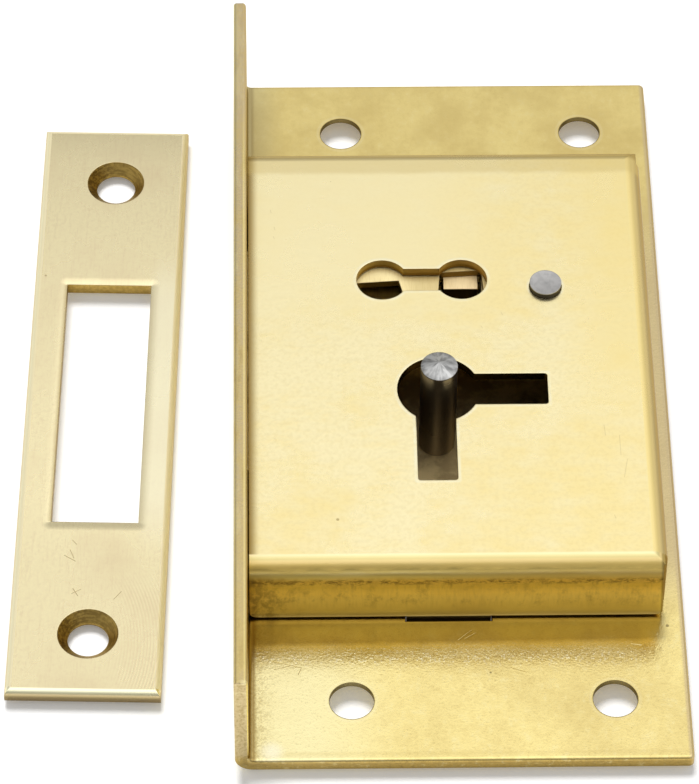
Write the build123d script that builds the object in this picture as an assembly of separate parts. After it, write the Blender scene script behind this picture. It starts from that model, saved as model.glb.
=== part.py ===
from build123d import *
import math
import os

# A lever deadlock for a cupboard door, lying on its plate with its cap up, and its loose striking plate.
# Millimetres. The origin is on the key's axis, at the plate's back face. +X points away from the selvedge,
# +Y runs up the plate, and +Z points through the cap.

# Plate and selvedge, one folded sheet
plate_length = 101.6
plate_width = 50.6
plate_thick = 1.5
plate_bend_in = 0.5
plate_corner = 0.6
selvedge_height = 16.2
sheet_edge = 0.4
backset = 23.4
key_below_middle = 5.9

# Screw holes of the plate, sunk from the back
screw_hole_d = 5.0
screw_sink_d = 6.6
screw_span_x = 29.3
screw_span_y = 85.4
screw_middle_x = 27.6

# Cap, a folded sheet that is open on the selvedge's side
cap_length = 62.6
cap_flange = 2.2
cap_sheet = 1.2
cap_bend_in = 0.6
cap_foot_gap = 0.3
cap_foot_corner = 0.8
cap_seam = 0.6
cap_seam_foot = 0.2
cap_seam_top = 0.7
cap_slit = 0.8
lug_width = 9.5
lug_shift = 0.65
side_lug_y = 14.4
lug_slot_front = 0.5

# Keyhole in the cap
keyhole_d = 9.5
slot_width = 4.55
slot_down = 13.25
slot_right = 12.55
slot_down_shift = -0.4
slot_corner = 0.35

# Double peephole in the cap
peep_d = 6.04
peep_bar = 3.36
peep_y = 16.6

# Steel pin for the hollow key
drill_d = 4.22
drill_height = 15.2
drill_point = 0.75
drill_tenon_d = 3.2

# Steel pivot of the levers
pivot_x = 12.9
pivot_y = 15.45
shoulder_d = 4.4
spindle_d = 4.0
pivot_end_d = 3.7
pivot_proud = 0.7
pivot_dish = 0.12
pivot_tenon_d = 3.0

# Bolt and its stump
throw = 9.25
head_length = 33.0
tail_thick = 2.5
tail_low_y = 11.5
tail_high_y = 21.5
neck_length = 2.7
talon_width = 4.6
talon_depth = 2.2
stump_x = 3.12
stump_y = 18.27
stump_width = 4.0
stump_depth = 2.3

# Levers, washers and springs
lever_count = 4
lever_thick = 0.9
lever_rim = 2.6
lever_top = 24.2
lever_eye_r = 4.0
lever_drop_deg = 4.5
belly_heights = [9.6, 10.8, 9.2, 10.3]
belly_half = 7.4
belly_rise = 0.9
pocket_foot = 2.0
washer_thick = 0.38
top_washer_thick = 0.1
washer_d = 7.0
spring_thick = 0.25
spring_width = 0.7
spring_root = 2.0
spring_inset = 1.9

# Top lever, which shows through the peephole where its spring has dropped it
top_drop_deg = 4.0
top_land_head = 4.88
top_land_foot = 3.3
top_window_width = 4.9
top_window_low = 14.2
near_window_top = 19.7
far_window_top = 18.83
top_gate_low = 14.3
top_gate_high = 16.8

# Striking plate, lying beside the lock
strike_length = 85.0
strike_width = 17.45
strike_thick = 1.5
strike_edge = 0.75
strike_cut_length = 35.8
strike_cut_width = 10.0
strike_hole_d = 4.65
strike_sink_d = 6.9
strike_hole_span = 68.0
strike_cut_x = 0.2
strike_cut_y = -0.5
strike_hole_y = -0.2
strike_x = -39.1
strike_y = 6.95
strike_turn_deg = -1.72

# Clearances
slide_clear = 0.1
shoulder_clear = 0.3
lever_play = 0.03
cap_clear = 0.04
stump_clear = 0.08
gate_clear = 0.15
pocket_clear = 0.45
swing_clear = 0.1
rivet_clear = 0.03
bore_clear = 0.05
lug_clear = 0.1
rivet_sink = 0.1
cap_side_gap = 0.15
key_clear = 0.15
lever_end_gap = 1.3
head_gap = 0.2
seam_overcut = 0.1
past = 1.0
hair = 0.01

# Places across the plate
selvedge_out = -backset
selvedge_in = selvedge_out + plate_thick
plate_right = selvedge_out + plate_width
plate_middle_y = key_below_middle
cap_left = selvedge_in + cap_side_gap
cap_right = plate_right - cap_flange
cap_low_y = plate_middle_y - cap_length / 2
cap_high_y = plate_middle_y + cap_length / 2
stump_out_x = stump_x - throw
lever_left = stump_out_x - stump_width / 2 - pocket_clear - lever_rim
head_back = min(-slot_right - key_clear, lever_left - lever_end_gap)

# Heights of the stack
tail_low = plate_thick + slide_clear
tail_high = tail_low + tail_thick
pack_low = tail_high + shoulder_clear
lever_step = lever_thick + washer_thick + 2 * lever_play
pack_high = pack_low + lever_count * lever_step + top_washer_thick
cap_under = pack_high + cap_clear
cap_top = cap_under + cap_sheet
cap_bend_out = cap_bend_in + cap_sheet
cap_foot = plate_thick + cap_foot_gap
top_lever_low = pack_high - top_washer_thick - lever_play - lever_thick
stump_top = top_lever_low - stump_clear
head_low = plate_thick + plate_bend_in + 2 * slide_clear
head_high = cap_under - head_gap
pivot_top = cap_top + pivot_proud


def block(x0, x1, y0, y1, z0, z1):
    """A box between two corners."""
    middle = Pos((x0 + x1) / 2, (y0 + y1) / 2, (z0 + z1) / 2)
    return middle * Box(x1 - x0, y1 - y0, z1 - z0)


def rod(x, y, diameter, z0, z1):
    """An upright round bar."""
    return Pos(x, y, (z0 + z1) / 2) * Cylinder(diameter / 2, z1 - z0)


def slab(sketch, z0, z1):
    """A flat outline raised from z0 to z1."""
    return extrude(Pos(0, 0, z0) * sketch, z1 - z0)


def sunk_hole(x, y, hole_d, sink_d, sheet, from_top):
    """A screw hole through a sheet that lies on z = 0, with a right-angled sink at one face."""
    depth = (sink_d - hole_d) / 2
    sink = Cone(hole_d / 2, sink_d / 2, depth) if from_top else Cone(sink_d / 2, hole_d / 2, depth)
    z = sheet - depth / 2 if from_top else depth / 2
    return rod(x, y, hole_d, -past, sheet + past) + Pos(x, y, z) * sink


def around(x0, x1, y0, y1):
    """A rectangle between two corners, flat on the plane of the plate."""
    return Pos((x0 + x1) / 2, (y0 + y1) / 2) * Rectangle(x1 - x0, y1 - y0)


def main_plate():
    """Plate, bend and selvedge of one sheet, with the screw holes and the slots of the cap's lugs."""
    y0 = plate_middle_y - plate_length / 2
    y1 = plate_middle_y + plate_length / 2
    bend_out = plate_bend_in + plate_thick
    bend_x = selvedge_out + bend_out
    flat = around(bend_x, plate_right, y0, y1)
    flat = fillet(flat.vertices().group_by(Axis.X)[-1], plate_corner)
    plate = slab(flat, 0, plate_thick)
    selvedge = block(selvedge_out, selvedge_in, y0, y1, bend_out, selvedge_height)
    ring = Cylinder(bend_out, plate_length) - Cylinder(plate_bend_in, plate_length)
    bend = Pos(bend_x, plate_middle_y, bend_out) * (Rot(90, 0, 0) * ring)
    bend = bend & block(selvedge_out, bend_x, y0, y1, 0, bend_out)
    sheet = plate + selvedge + bend
    sheet = fillet(rim_edges(sheet, bend_x, bend_out), sheet_edge)
    for side in (-1, 1):
        for end in (-1, 1):
            x = selvedge_out + screw_middle_x + side * screw_span_x / 2
            y = plate_middle_y + end * screw_span_y / 2
            sheet -= sunk_hole(x, y, screw_hole_d, screw_sink_d, plate_thick, False)
    for lug in cap_lugs(lug_clear, lug_slot_front, -past, plate_thick + past):
        sheet -= lug
    head = head_box(slide_clear)
    sheet -= block(selvedge_out - past, selvedge_in + past, *head)
    sheet -= rod(0, 0, drill_tenon_d + 2 * rivet_clear, -past, plate_thick + past)
    sheet -= rod(pivot_x, pivot_y, pivot_tenon_d + 2 * rivet_clear, -past, plate_thick + past)
    return sheet


def rim_edges(sheet, bend_x, bend_out):
    """The edges round the sheet's inner side, and the outer one along the selvedge's top."""
    rim = []
    for edge in sheet.edges():
        at = edge.center()
        on_bend_line = abs(at.X - bend_x) < hair or abs(at.Z - bend_out) < hair
        inner = at.Z > plate_thick - hair and at.X > selvedge_in - hair and not on_bend_line
        outer_top = at.Z > selvedge_height - hair and at.X < selvedge_out + hair
        if inner or outer_top:
            rim.append(edge)
    return rim


def head_box(grow):
    """Y and Z limits of the bolt's head, grown by a clearance."""
    half = head_length / 2 + grow
    return plate_middle_y - half, plate_middle_y + half, head_low - grow, head_high + grow


def cap_lugs(grow, front, z0, z1):
    """The lugs under the cap's three walls, grown by a clearance and by another at their outer faces."""
    half = lug_width / 2 + grow
    x0 = lug_shift - half
    x1 = lug_shift + half
    near = block(x0, x1, cap_low_y - front, cap_low_y + cap_sheet + grow, z0, z1)
    far = block(x0, x1, cap_high_y - cap_sheet - grow, cap_high_y + front, z0, z1)
    inner = cap_right - cap_sheet - grow
    side = block(inner, cap_right + front, side_lug_y - half, side_lug_y + half, z0, z1)
    return near, far, side


def folded_block(inset, z0, z1, bend, left):
    """A block whose three upper edges are rounded as the bent sheet is. Its fourth side is cut square."""
    y0 = cap_low_y + inset
    y1 = cap_high_y - inset
    x1 = cap_right - inset
    across = Pos((y0 + y1) / 2, (z0 + z1) / 2) * Rectangle(y1 - y0, z1 - z0)
    across = fillet(across.vertices().group_by(Axis.Y)[-1], bend)
    along_x = Pos(left, 0, 0) * extrude(Plane.YZ * across, x1 - left)
    side = Pos((left + x1) / 2, (z0 + z1) / 2) * Rectangle(x1 - left, z1 - z0)
    side = fillet(side.vertices().group_by(Axis.Y)[-1].sort_by(Axis.X)[-1], bend)
    along_y = Pos(0, y1, 0) * extrude(Plane.XZ * side, y1 - y0)
    return along_x & along_y


def end_wall_cut(outline, y_wall, inward):
    """An outline seen along the plate, cut through one end wall of the cap."""
    y_far = y_wall + inward * cap_sheet
    cut = extrude(Plane.XZ * outline, cap_sheet + past)
    return Pos(0, max(y_wall - inward * past, y_far), 0) * cut


def foot_corner(x, side):
    """What rounds a lower corner of an end wall: a small square less the quarter circle that stays."""
    r = cap_foot_corner
    square = Pos(x - side * r / 2, cap_foot + r / 2) * Rectangle(r, r)
    return square - Pos(x - side * r, cap_foot + r) * Circle(r)


def corner_seam(y_wall, inward):
    """The open seam at a right-hand corner: the end wall stops short and the side wall stands back."""
    x_top = cap_right - cap_seam
    x_foot = cap_right - cap_seam_foot
    z_top = cap_top - cap_seam_top
    out = cap_right + past
    wedge = make_face(Polyline((x_top, z_top), (out, z_top), (out, 0), (x_foot, 0), close=True))
    y_far = y_wall + inward * cap_sheet
    y_slit = sorted((y_far, y_far + inward * cap_slit))
    slit = block(cap_right - cap_sheet - seam_overcut, out, *y_slit, 0, z_top)
    seam = end_wall_cut(wedge, y_wall, inward) + slit
    seam += end_wall_cut(foot_corner(cap_left, -1), y_wall, inward)
    return seam + end_wall_cut(foot_corner(x_foot, 1), y_wall, inward)


def keyhole():
    """A round hole with one slot down the plate and one away from the selvedge."""
    down = around(-slot_width / 2, slot_width / 2, -slot_down, 0)
    down = fillet(down.vertices().group_by(Axis.Y)[0], slot_corner)
    right = around(0, slot_right, -slot_width / 2, slot_width / 2)
    right = fillet(right.vertices().group_by(Axis.X)[-1], slot_corner)
    return Circle(keyhole_d / 2) + Pos(slot_down_shift, 0) * down + right


def peephole():
    """Two round holes over the stump's two places, joined by a bar."""
    bar = around(stump_out_x, stump_x, peep_y - peep_bar / 2, peep_y + peep_bar / 2)
    rounds = [Pos(x, peep_y) * Circle(peep_d / 2) for x in (stump_x, stump_out_x)]
    return bar + rounds[0] + rounds[1]


def cap():
    """The folded cap with its lugs, keyhole and peephole."""
    outside = folded_block(0, cap_foot, cap_top, cap_bend_out, cap_left)
    inside = folded_block(cap_sheet, cap_foot - past, cap_under, cap_bend_in, cap_left - past)
    shell = outside - inside
    shell -= corner_seam(cap_low_y, 1)
    shell -= corner_seam(cap_high_y, -1)
    for lug in cap_lugs(0, 0, rivet_sink, cap_foot):
        shell += lug
    holes = keyhole() + peephole() + Pos(pivot_x, pivot_y) * Circle(pivot_end_d / 2 + rivet_clear)
    return shell - slab(holes, cap_under - past / 2, cap_top + past)


def drill_pin():
    """The key's pin: a riveted tenon in the plate, a straight shank and a shallow point."""
    tenon = rod(0, 0, drill_tenon_d, rivet_sink, plate_thick)
    shank = rod(0, 0, drill_d, plate_thick, drill_height)
    point = Pos(0, 0, drill_height + drill_point / 2) * Cone(drill_d / 2, drill_d / 40, drill_point)
    return tenon + shank + point


def lever_pivot():
    """The levers' post: tenon, shoulder for the bolt's fork, spindle, and the end riveted over the cap."""
    post = rod(pivot_x, pivot_y, pivot_tenon_d, rivet_sink, plate_thick)
    post += rod(pivot_x, pivot_y, shoulder_d, plate_thick, pack_low)
    post += rod(pivot_x, pivot_y, spindle_d, pack_low, cap_under - rivet_clear)
    post += rod(pivot_x, pivot_y, pivot_end_d, cap_under - rivet_clear, pivot_top)
    dish_r = pivot_end_d * pivot_end_d / (8 * pivot_dish)
    return post - Pos(pivot_x, pivot_y, pivot_top + dish_r - pivot_dish) * Sphere(dish_r)


def stump_outline(grow):
    """The stump's section, grown by a clearance."""
    return Pos(stump_x, stump_y) * Rectangle(stump_width + 2 * grow, stump_depth + 2 * grow)


def bolt():
    """A thick head in the selvedge and a thin tail, forked round the pivot and cut for the key."""
    tail_right = cap_right - cap_sheet - head_gap
    head = block(selvedge_out + slide_clear, head_back, *head_box(0))
    neck = block(head_back, head_back + neck_length, tail_low_y, tail_high_y, head_low, tail_high)
    tail = block(head_back + neck_length, tail_right, tail_low_y, tail_high_y, tail_low, tail_high)
    fork_half = shoulder_d / 2 + slide_clear
    fork = Pos(pivot_x, pivot_y) * Circle(fork_half)
    fork += around(pivot_x, tail_right + past, pivot_y - fork_half, pivot_y + fork_half)
    talon_x = throw / 2
    talon = around(talon_x - talon_width / 2, talon_x + talon_width / 2, 0, tail_low_y + talon_depth)
    body = head + neck + tail
    return body - slab(fork + talon + stump_outline(rivet_clear), tail_low - past, tail_high + past)


def bolt_stump():
    """The block riveted in the tail, which the levers' gates let through."""
    return slab(stump_outline(0), tail_low + rivet_sink, stump_top)


def pocket(station, arm):
    """Room round the stump at one of its places, for the lever's drop and its lift past the gate."""
    half = stump_width / 2 + pocket_clear
    reach = arm + stump_width / 2
    up = reach * math.sin(math.radians(lever_drop_deg)) + swing_clear
    y_low = stump_y - stump_depth / 2 - pocket_foot
    y_high = stump_y + stump_depth / 2 + up
    return around(station - half, station + half, y_low, y_high)


def lever_gates():
    """The cut of the lower levers: a pocket at each of the stump's places and the gate between them."""
    gate_half = stump_depth / 2 + gate_clear
    cut = around(stump_out_x, stump_x, stump_y - gate_half, stump_y + gate_half)
    for station in (stump_x, stump_out_x):
        cut += pocket(station, pivot_x - station)
    return cut


def window(x_head, x_foot, side, top):
    """A window of the top lever, whose inner edge slants from x_head at its top to x_foot."""
    low = top_window_low
    outer = x_head + side * top_window_width
    return make_face(Polyline((x_head, top), (outer, top), (outer, low), (x_foot, low), close=True))


def top_gates():
    """The cut of the top lever: its windows beside the tapered land that shows, and its gate lower down."""
    middle = (stump_x + stump_out_x) / 2
    head = top_land_head / 2
    foot = top_land_foot / 2
    cut = window(middle + head, middle + foot, 1, near_window_top)
    cut += window(middle - head, middle - foot, -1, far_window_top)
    return cut + around(middle - head, middle + head, top_gate_low, top_gate_high)


def spring_x():
    """Where the spring stands in its lever's upper edge."""
    return lever_left + spring_inset


def lever(belly, gates):
    """One lever's outline, before its drop: eye, body, round belly, gates and the slit of its spring."""
    eye_top = (pivot_x, pivot_y + lever_eye_r)
    eye_foot = (pivot_x, pivot_y - lever_eye_r)
    shoulder = (pivot_x - lever_eye_r, lever_top)
    heel = (lever_left, belly + belly_half / 2)
    right_end = (belly_half, belly + belly_rise)
    left_end = (-belly_half, belly + belly_rise)
    edge = Polyline(left_end, heel, (lever_left, lever_top), shoulder, eye_top)
    edge += ThreePointArc(eye_top, (pivot_x + lever_eye_r, pivot_y), eye_foot)
    edge += Line(eye_foot, right_end)
    edge += ThreePointArc(right_end, (0, belly), left_end)
    outline = make_face(edge) - gates
    outline -= Pos(pivot_x, pivot_y) * Circle(spindle_d / 2 + bore_clear)
    slit_half = spring_thick / 2 + bore_clear
    x = spring_x()
    return outline - around(x - slit_half, x + slit_half, lever_top - spring_root, lever_top + past)


def lever_spring(drop_deg):
    """A leaf's outline: a straight root in the lever's slit, then a quarter turn to the cap's end wall.

    The turn's radius is the one whose far end reaches the wall once the lever has dropped by drop_deg.
    """
    x = spring_x()
    half = spring_thick / 2
    drop = math.radians(drop_deg)
    wall_y = cap_high_y - cap_sheet - slide_clear - half
    root_y = pivot_y + (x - pivot_x) * math.sin(drop) + (lever_top - pivot_y) * math.cos(drop)
    radius = (wall_y - root_y) / (1 + math.sin(drop))
    root = around(x - half, x + half, lever_top - spring_root + bore_clear, lever_top)
    ring = Pos(x + radius, lever_top) * (Circle(radius + half) - Circle(radius - half))
    return root + (ring & around(x - half, x + radius, lever_top, lever_top + radius + half))


def dropped(shape, drop_deg):
    """A lever's piece turned down about the pivot, as its spring leaves it."""
    return Pos(pivot_x, pivot_y) * (Rot(0, 0, drop_deg) * (Pos(-pivot_x, -pivot_y) * shape))


def washer():
    """A thin washer's outline."""
    return Pos(pivot_x, pivot_y) * (Circle(washer_d / 2) - Circle(spindle_d / 2 + bore_clear))


def strike_plate():
    """The striking plate with its bolt hole and countersunk screw holes, lying where it was laid down."""
    body = block(-strike_width / 2, strike_width / 2, -strike_length / 2, strike_length / 2, 0, strike_thick)
    body = fillet(body.faces().sort_by(Axis.Z)[-1].edges(), strike_edge)
    cut = Pos(strike_cut_x, strike_cut_y) * Rectangle(strike_cut_width, strike_cut_length)
    body -= slab(cut, -past, strike_thick + past)
    for end in (-1, 1):
        y = strike_hole_y + end * strike_hole_span / 2
        body -= sunk_hole(strike_cut_x, y, strike_hole_d, strike_sink_d, strike_thick, True)
    return Pos(strike_x, strike_y, 0) * (Rot(0, 0, strike_turn_deg) * body)


parts = {
    "main_plate": main_plate(),
    "cap": cap(),
    "drill_pin": drill_pin(),
    "lever_pivot": lever_pivot(),
    "bolt": bolt(),
    "bolt_stump": bolt_stump(),
    "strike_plate": strike_plate(),
}
for number in range(lever_count):
    is_top = number == lever_count - 1
    drop_deg = top_drop_deg if is_top else 0
    gates = top_gates() if is_top else lever_gates()
    washer_low = pack_low + number * lever_step
    lever_low = washer_low + washer_thick + lever_play
    spring_low = lever_low + (lever_thick - spring_width) / 2
    blade = slab(lever(belly_heights[number], gates), lever_low, lever_low + lever_thick)
    leaf = slab(lever_spring(drop_deg), spring_low, spring_low + spring_width)
    parts[f"lever_washer_{number + 1}"] = slab(washer(), washer_low, washer_low + washer_thick)
    parts[f"lever_{number + 1}"] = dropped(blade, drop_deg)
    parts[f"lever_spring_{number + 1}"] = dropped(leaf, drop_deg)
parts[f"lever_washer_{lever_count + 1}"] = slab(washer(), pack_high - top_washer_thick, pack_high)

os.makedirs("parts", exist_ok=True)
for name, shape in parts.items():
    export_step(shape, f"parts/{name}.step")
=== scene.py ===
import math

import bpy
import numpy as np
from mathutils import Matrix, Vector


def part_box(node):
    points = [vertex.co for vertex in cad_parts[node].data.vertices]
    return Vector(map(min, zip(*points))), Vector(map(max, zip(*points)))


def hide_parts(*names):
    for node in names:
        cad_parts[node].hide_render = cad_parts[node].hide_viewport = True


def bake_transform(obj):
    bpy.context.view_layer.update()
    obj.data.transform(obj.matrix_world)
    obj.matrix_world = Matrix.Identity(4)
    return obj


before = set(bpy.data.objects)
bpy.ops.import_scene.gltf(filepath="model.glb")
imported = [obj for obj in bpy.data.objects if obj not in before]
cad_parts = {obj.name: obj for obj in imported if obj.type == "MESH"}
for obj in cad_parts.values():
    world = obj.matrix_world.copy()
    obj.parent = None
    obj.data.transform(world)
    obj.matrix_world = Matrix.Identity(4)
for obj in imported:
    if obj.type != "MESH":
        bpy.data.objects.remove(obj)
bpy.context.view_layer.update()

# Camera, fitted to the photograph. Places are in millimetres, in the lock's own frame.
FRAME_HEIGHT_PX = 784
FOCAL_PX = 4594.1
SENSOR_MM = 36.0
EYE_MM = (-18.57, -334.05, 417.06)
EYE_RIGHT = (0.99984582, -0.01582407, 0.00761159)
EYE_DOWN = (-0.00738933, -0.77239017, -0.63510536)

# Places on the cap that its finish follows, in millimetres. Slots give their x and y limits.
CAP_LEFT, CAP_RIGHT = -21.75, 25.0
CAP_NEAR, CAP_FAR = -25.4, 37.2
CAP_SHEET, CAP_UNDER, CAP_TOP = 1.2, 9.9, 11.1
CAP_FOLD, FLECK_LINE = 9.3, 8.15
FOOT_ROLL, WALL_FOOT = 2.6, 1.79
SEAM_AT, SEAM_LEAN = 24.8, 0.0385
PIVOT, RIVET_R = (12.9, 15.45), 1.85
PEEPHOLES = ((3.12, 16.6), (-6.13, 16.6))
PEEP_R, PEEP_HALF_BAR = 3.02, 1.68
KEYHOLE_R = 4.75
KEY_SLOT_DOWN = (-2.675, 1.875, -13.25, 0)
KEY_SLOT_RIGHT = (0, 12.55, -2.275, 2.275)

# Places on the plate and its selvedge
PLATE_NEAR, PLATE_RIGHT, PLATE_TOP = -44.9, 27.2, 1.5
SELVEDGE_OUT, SELVEDGE_IN, SELVEDGE_TOP = -23.4, -21.9, 16.2
SCREW_X, SCREW_Y, SCREW_R = (-10.45, 18.85), (48.6, -36.8), 2.5
LUG_X, LUG_SLOT_HALF = 0.65, 4.95
GLINT_AT = (-19.4, -43.6)

# Places on the striking plate, from its middle, and the cutter whose arcs it shows
STRIKE_AT, STRIKE_TURN_DEG = (-39.1, 6.95), -1.72
STRIKE_TOP, STRIKE_SIDE_EDGE, STRIKE_END_EDGE = 1.5, 8.0, 41.8
STRIKE_SINKS, SINK_R = ((0.2, 33.8), (0.2, -34.2)), 3.45
BOLT_HOLE = (-4.8, 5.2, -18.4, 17.4)
CUTTER_AT, CUTTER_PITCH = (-14.0, -36.0), 0.36

# Heights of the pieces inside the case
PIN_SHOULDER, RIVET_TOP, STUMP_TOP, LEVER_TOP = 15.2, 11.8, 8.75, 9.73

# Leaf springs, which bend between their levers and the cap's end wall. The top lever has dropped,
# so its leaf is turned.
SPRING_X, SPRING_FOOT, SPRING_THICK, LEVER_EDGE = -9.28, 22.25, 0.25, 24.2
SPRING_RADIUS, TOP_SPRING_RADIUS, TOP_DROP_DEG = 11.575, 12.286, 4.0
SPRING_STILL_DEG = 65.0
ROOT_SECTIONS, TURN_SECTIONS = 4, 37

# Lone scratches: x and y of both ends, on the cap, the plate and the striking plate
CAP_SCRATCHES = [
    (-19.13, 27.62, -19.02, 27.14), (-18.7, 24.93, -18.58, 24.46), (-18.8, 23.44, -18.68, 23.13),
    (18.69, -5.46, 18.78, -6.93), (20.37, -6.94, 20.39, -9.85), (21.09, -10.44, 20.61, -13.03),
    (19.2, -18.44, 19.35, -18.87), (7.58, 11.53, 7.74, 11.07), (5.19, 9.42, 5.35, 9.12)]
PLATE_SCRATCHES = [
    (-19.2, -31.3, -16.0, -32.2), (-19.0, -32.4, -16.2, -31.6), (-16.0, -32.2, -16.4, -33.2),
    (1.6, -28.6, 3.2, -27.2), (2.4, -28.4, 3.6, -27.6), (7.4, -32.4, 9.0, -33.0),
    (21.0, -29.3, 22.2, -29.5)]
STRIKE_SCRATCHES = [
    (-3.0, -23.2, -1.7, -24.0), (-2.4, -22.4, -1.9, -23.6), (2.9, -29.3, 3.7, -28.2),
    (-1.9, -28.6, -0.9, -28.0), (-1.2, -28.9, -1.8, -27.9), (-2.2, -21.0, -1.7, -21.6)]

# How the cap's colour changes round its near fold and down its wall, painted with the light and
# shade they show: height and colour
NEAR_FOLD = [
    (1.8, (1.0, 0.76, 0.26)), (2.3, (1.0, 0.78, 0.27)), (3.2, (1.0, 0.76, 0.22)),
    (5.1, (1.0, 0.75, 0.22)), (6.1, (0.96, 0.68, 0.167)), (7.2, (0.72, 0.49, 0.09)),
    (8.3, (0.66, 0.43, 0.095)), (8.6, (0.66, 0.47, 0.127)), (9.03, (0.585, 0.47, 0.187)),
    (9.3, (0.525, 0.43, 0.185)), (9.6, (0.555, 0.455, 0.20)), (9.75, (0.55, 0.44, 0.175)),
    (9.9, (0.52, 0.40, 0.13)), (10.12, (0.50, 0.366, 0.107)), (10.32, (0.77, 0.57, 0.168)),
    (10.5, (0.89, 0.644, 0.196)), (10.65, (0.92, 0.69, 0.232)), (10.78, (0.96, 0.73, 0.30)),
    (10.9, (0.85, 0.67, 0.30)), (10.98, (0.69, 0.58, 0.262)), (11.05, (0.76, 0.67, 0.32)),
    (11.09, (0.95, 0.83, 0.45)), (11.1, (1.0, 0.885, 0.525))]
# How painted shade darkens the walls of its holes towards their foot: height and colour
HOLE_WALL_SHADE = [
    (9.9, (0.22, 0.125, 0.025)), (10.2, (0.24, 0.14, 0.03)), (10.45, (0.46, 0.32, 0.10)),
    (11.1, (0.56, 0.40, 0.15))]
# How its colour changes round its right fold, painted with the light and shade the fold shows:
# place across the plate and colour
RIGHT_FOLD = [
    (23.2, (0.94, 0.78, 0.34)), (23.45, (0.93, 0.75, 0.325)), (23.76, (0.87, 0.69, 0.275)),
    (24.1, (0.73, 0.57, 0.24)), (24.44, (0.41, 0.315, 0.142)), (24.77, (0.43, 0.30, 0.115)),
    (25.0, (0.45, 0.32, 0.125))]
# How dark the plate is before the cap's near wall, as painted shadow: distance from the wall and
# share of the dark colour
FOOT_SHADE = [
    (0.0, 0.50), (0.35, 0.60), (0.75, 0.60), (1.1, 0.52), (1.7, 0.46), (3.2, 0.42), (3.85, 0.0)]
# How dark the striking plate is along its length, as painted shade: place from its middle and
# share of the dark colour
STRIKE_SHADE = [
    (-42.5, 0.10), (-24.0, 0.07), (-15.0, 0.0), (0.0, 0.01), (18.0, 0.06), (30.0, 0.12),
    (37.0, 0.17), (42.5, 0.30)]
# How its colour changes over its rounded near edge, and over its other edges, painted with the
# highlight and shade they show: height and colour
STRIKE_END = [
    (0.0, (0.31, 0.235, 0.125)), (0.5, (0.29, 0.22, 0.11)), (0.85, (0.38, 0.30, 0.15)),
    (1.05, (0.60, 0.48, 0.25)), (1.15, (0.88, 0.75, 0.44)), (1.25, (1.0, 0.94, 0.60)),
    (1.42, (1.0, 0.97, 0.68)), (1.5, (1.0, 0.96, 0.68))]
STRIKE_SIDE = [
    (0.0, (0.55, 0.45, 0.25)), (0.7, (0.62, 0.52, 0.30)), (1.1, (0.85, 0.75, 0.48)),
    (1.35, (1.0, 0.95, 0.70)), (1.5, (0.97, 0.88, 0.60))]

# Brightness of the tent: height of the direction (0 level, 1 straight up) and level
TENT = [
    (0.0, 0.42), (0.2, 0.38), (0.4, 0.29), (0.6, 0.33), (0.70, 0.40), (0.74, 0.47), (0.77, 0.52),
    (0.82, 0.575), (0.9, 0.64), (1.0, 0.74)]
TENT_LEVEL, TENT_DIM_BEHIND, TENT_LIFT_RIGHT, ROOM_LEVEL = 1.9, 0.35, 0.4, 0.45
LAMP_LEVEL, LAMP_SPREAD_DEG, LAMP_FROM = 2.6, 26, (-0.1, 0.5, 0.85)
FLOOR_HALF_M, FLOOR_HEIGHT_M, FLOOR_LIFT = 1.5, -0.0007, 0.15
FLOOR_PAPER = (0.92, 0.92, 0.92, 1)
WHITE = (1, 1, 1, 1)

# Colours of the metals, in linear light
CAP_BRASS = (1.0, 0.885, 0.525, 1)
CAP_WARM = (0.99, 0.81, 0.35, 1)
# A pale brass, mostly for painted highlights on rims, grains and corners
BRIGHT_BRASS = (1.0, 0.95, 0.70, 1)
EDGE_GREY = (0.53, 0.47, 0.26, 1)
PALE_BRASS = (0.98, 0.89, 0.50, 1)
PLATE_BRASS = (0.95, 0.79, 0.33, 1)
PLATE_OLIVE = (0.66, 0.505, 0.185, 1)
EDGE_TAN = (0.60, 0.475, 0.27, 1)
STRIKE_BRASS = (0.94, 0.83, 0.51, 1)
STRIKE_STAIN = (0.80, 0.64, 0.40, 1)
LEVER_BRASS = (0.98, 0.83, 0.45, 1)
# A darker copy of the lever brass: painted shade on the top lever
SHADED_TOP_LEVER_BRASS = (0.76, 0.62, 0.31, 1)
STUMP_BRASS = (0.93, 0.75, 0.44, 1)
# A darker brass for cut faces and streaks, and for painted shade on folds and front faces
DARK_BRASS = (0.50, 0.34, 0.09, 1)
# Tarnish, and the same colours as painted shade in folds, creases, holes, slots and gaps
TARNISH_AND_SHADE = (0.32, 0.21, 0.055, 1)
DEEP_SHADE_AND_TARNISH = (0.07, 0.042, 0.014, 1)
# Dirt inside the case, darkened further as painted shade
CASE_DIRT_AND_SHADE = (0.30, 0.21, 0.10, 1)
CASE_FLOOR = (0.68, 0.53, 0.265, 1)
TIP_STEEL = (0.52, 0.52, 0.51, 1)
TIP_SHADE = (0.18, 0.18, 0.177, 1)
SHANK_STEEL = (0.30, 0.26, 0.22, 1)
RIVET_STEEL = (0.48, 0.47, 0.46, 1)
SHADED_STEEL = (0.06, 0.055, 0.05, 1)
BLUED_STEEL = (0.06, 0.065, 0.08, 1)
RIM_TINT = (0.75, 0.68, 0.52, 1)


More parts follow.
